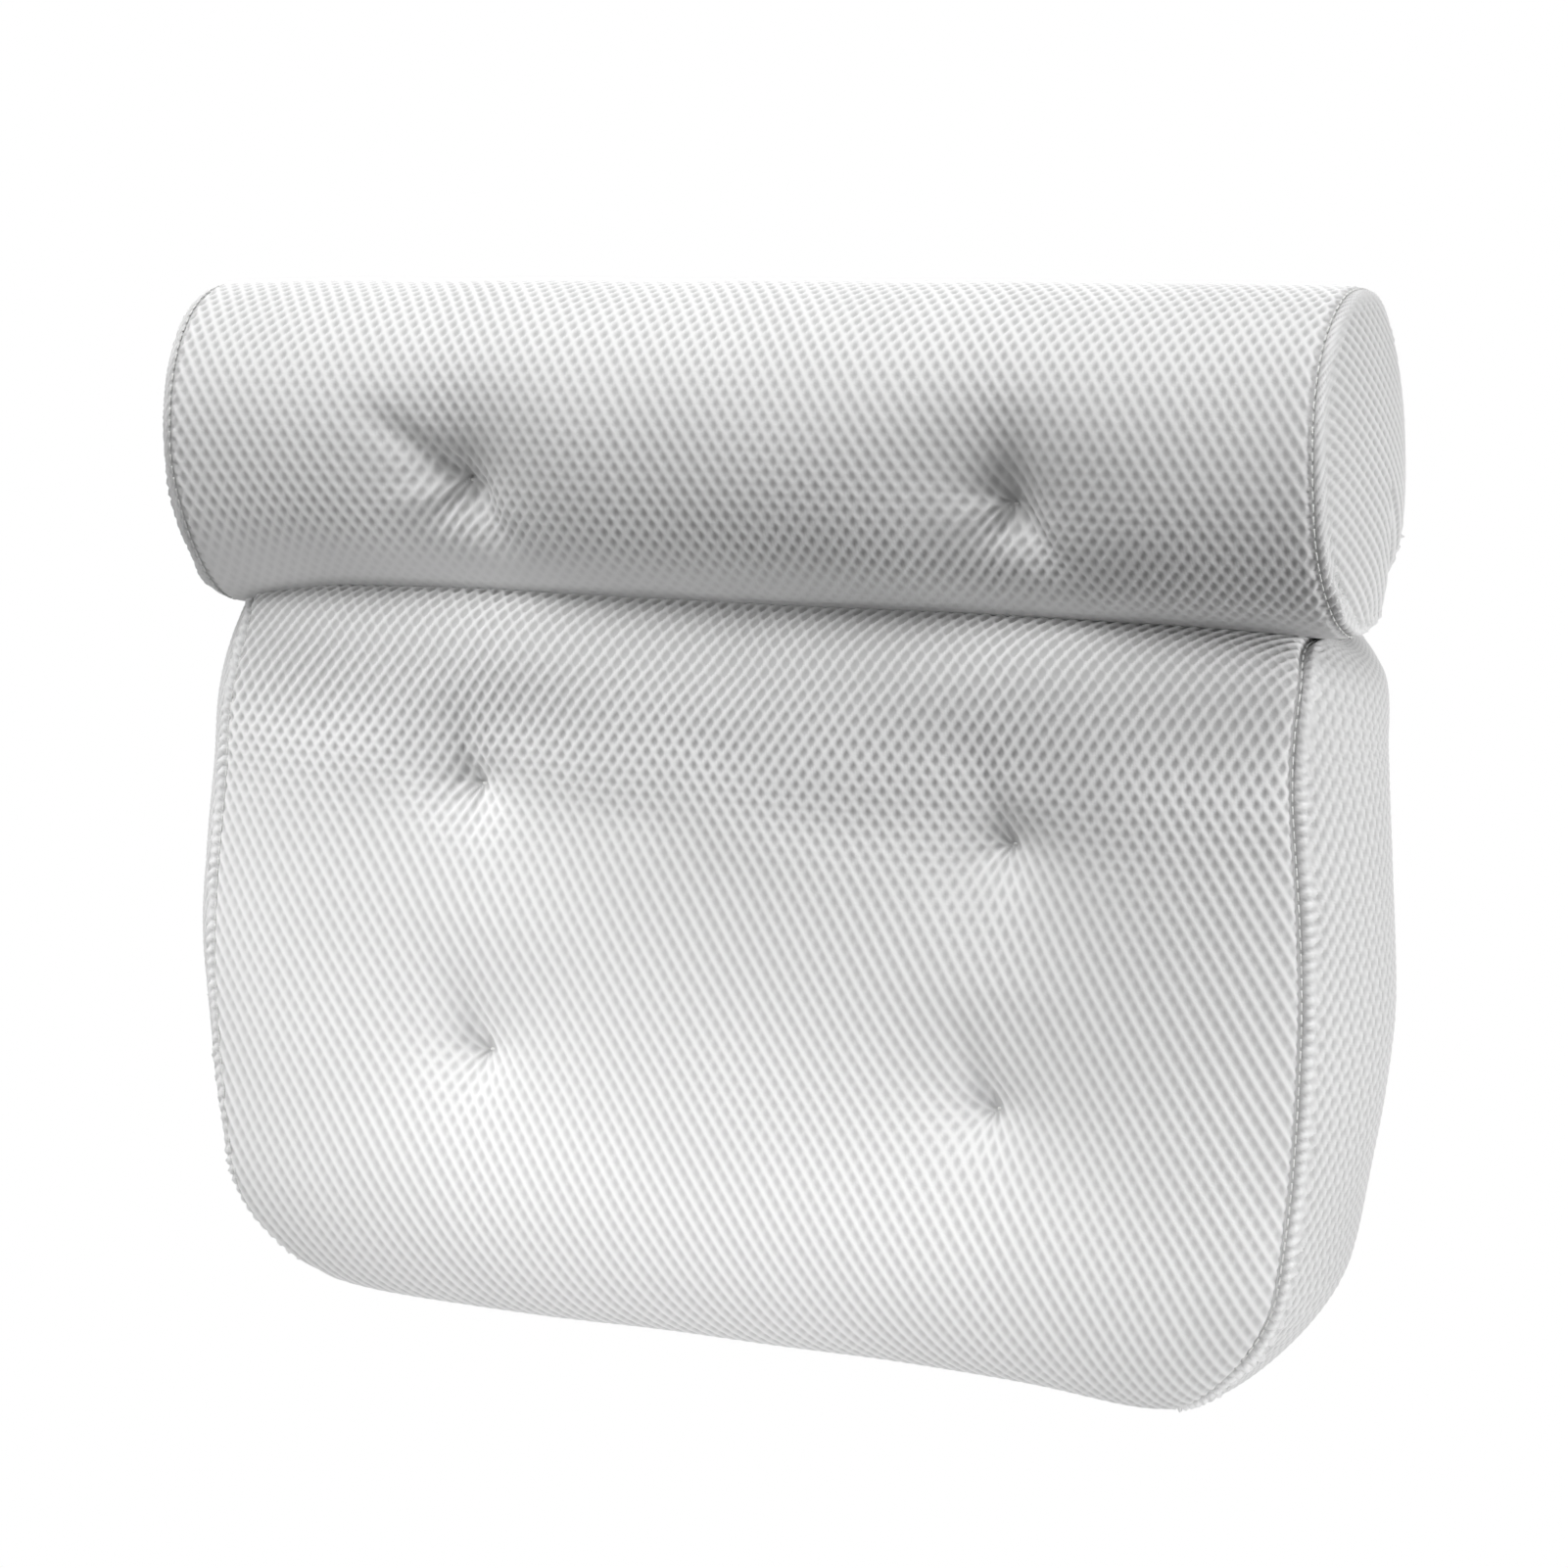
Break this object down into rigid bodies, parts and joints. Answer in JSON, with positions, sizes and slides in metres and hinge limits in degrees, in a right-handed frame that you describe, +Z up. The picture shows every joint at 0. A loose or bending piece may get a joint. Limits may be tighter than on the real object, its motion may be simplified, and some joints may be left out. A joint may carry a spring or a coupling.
{
  "type": "bath pillow",
  "caption": "Padded air-mesh bath pillow: a round head bolster folds on a fabric hinge above a tufted, boxed back cushion, with suction cups behind.",
  "frame": {"origin": "middle of the four lower suction cups, in the plane of the bath wall that their rims press on", "axes": "+Y into the wall, so the pillow's front faces -Y; +Z up; +X to the right of someone facing the front"},
  "size_m": [0.3758, 0.1162, 0.3226],
  "materials": {
    "air_mesh": "white open diamond mesh, matte",
    "fibre_fill": "soft white fibre stuffing",
    "thread": "white polyester thread",
    "cup_rubber": "smooth translucent soft vinyl"
  },
  "bodies": {
    "cushion": {"cushion_front_panel": "air_mesh", "cushion_back_panel": "air_mesh", "cushion_gusset": "air_mesh", "cushion_fill": "fibre_fill", "hinge_band": "air_mesh", "tuft_thread_upper_left": "thread", "tuft_thread_upper_right": "thread", "tuft_thread_lower_left": "thread", "tuft_thread_lower_right": "thread"},
    "bolster": {"bolster_front_panel": "air_mesh", "bolster_back_panel": "air_mesh", "bolster_end_panel_left": "air_mesh", "bolster_end_panel_right": "air_mesh", "bolster_fill": "fibre_fill", "tuft_thread_bolster_left": "thread", "tuft_thread_bolster_right": "thread"},
    "cup_upper_left": {"suction_cup_upper_left": "cup_rubber"},
    "cup_upper_right": {"suction_cup_upper_right": "cup_rubber"},
    "cup_lower_left": {"suction_cup_lower_left": "cup_rubber"},
    "cup_lower_right": {"suction_cup_lower_right": "cup_rubber"},
    "cup_bolster_left": {"suction_cup_bolster_left": "cup_rubber"},
    "cup_bolster_right": {"suction_cup_bolster_right": "cup_rubber"}
  },
  "joints": [
    {"name": "bolster_fold", "type": "hinge", "parent": "cushion", "child": "bolster", "pos_m": [0, -0.0284, 0.098], "axis": [-1, 0, 0], "range_deg": [0, 90]},
    {"name": "cup_upper_left_rock", "type": "hinge", "parent": "cushion", "child": "cup_upper_left", "pos_m": [-0.084, -0.0178, 0.0405], "axis": [1, 0, 0], "range_deg": [-8, 8], "stiffness_Nm_per_rad": 0.02},
    {"name": "cup_upper_right_rock", "type": "hinge", "parent": "cushion", "child": "cup_upper_right", "pos_m": [0.084, -0.0178, 0.0405], "axis": [1, 0, 0], "range_deg": [-8, 8], "stiffness_Nm_per_rad": 0.02},
    {"name": "cup_lower_left_rock", "type": "hinge", "parent": "cushion", "child": "cup_lower_left", "pos_m": [-0.084, -0.0178, -0.0405], "axis": [1, 0, 0], "range_deg": [-8, 8], "stiffness_Nm_per_rad": 0.02},
    {"name": "cup_lower_right_rock", "type": "hinge", "parent": "cushion", "child": "cup_lower_right", "pos_m": [0.084, -0.0178, -0.0405], "axis": [1, 0, 0], "range_deg": [-8, 8], "stiffness_Nm_per_rad": 0.02},
    {"name": "cup_bolster_left_rock", "type": "hinge", "parent": "bolster", "child": "cup_bolster_left", "pos_m": [-0.084, -0.0178, 0.1352], "axis": [1, 0, 0], "range_deg": [-8, 8], "stiffness_Nm_per_rad": 0.02},
    {"name": "cup_bolster_right_rock", "type": "hinge", "parent": "bolster", "child": "cup_bolster_right", "pos_m": [0.084, -0.0178, 0.1352], "axis": [1, 0, 0], "range_deg": [-8, 8], "stiffness_Nm_per_rad": 0.02}
  ]
}
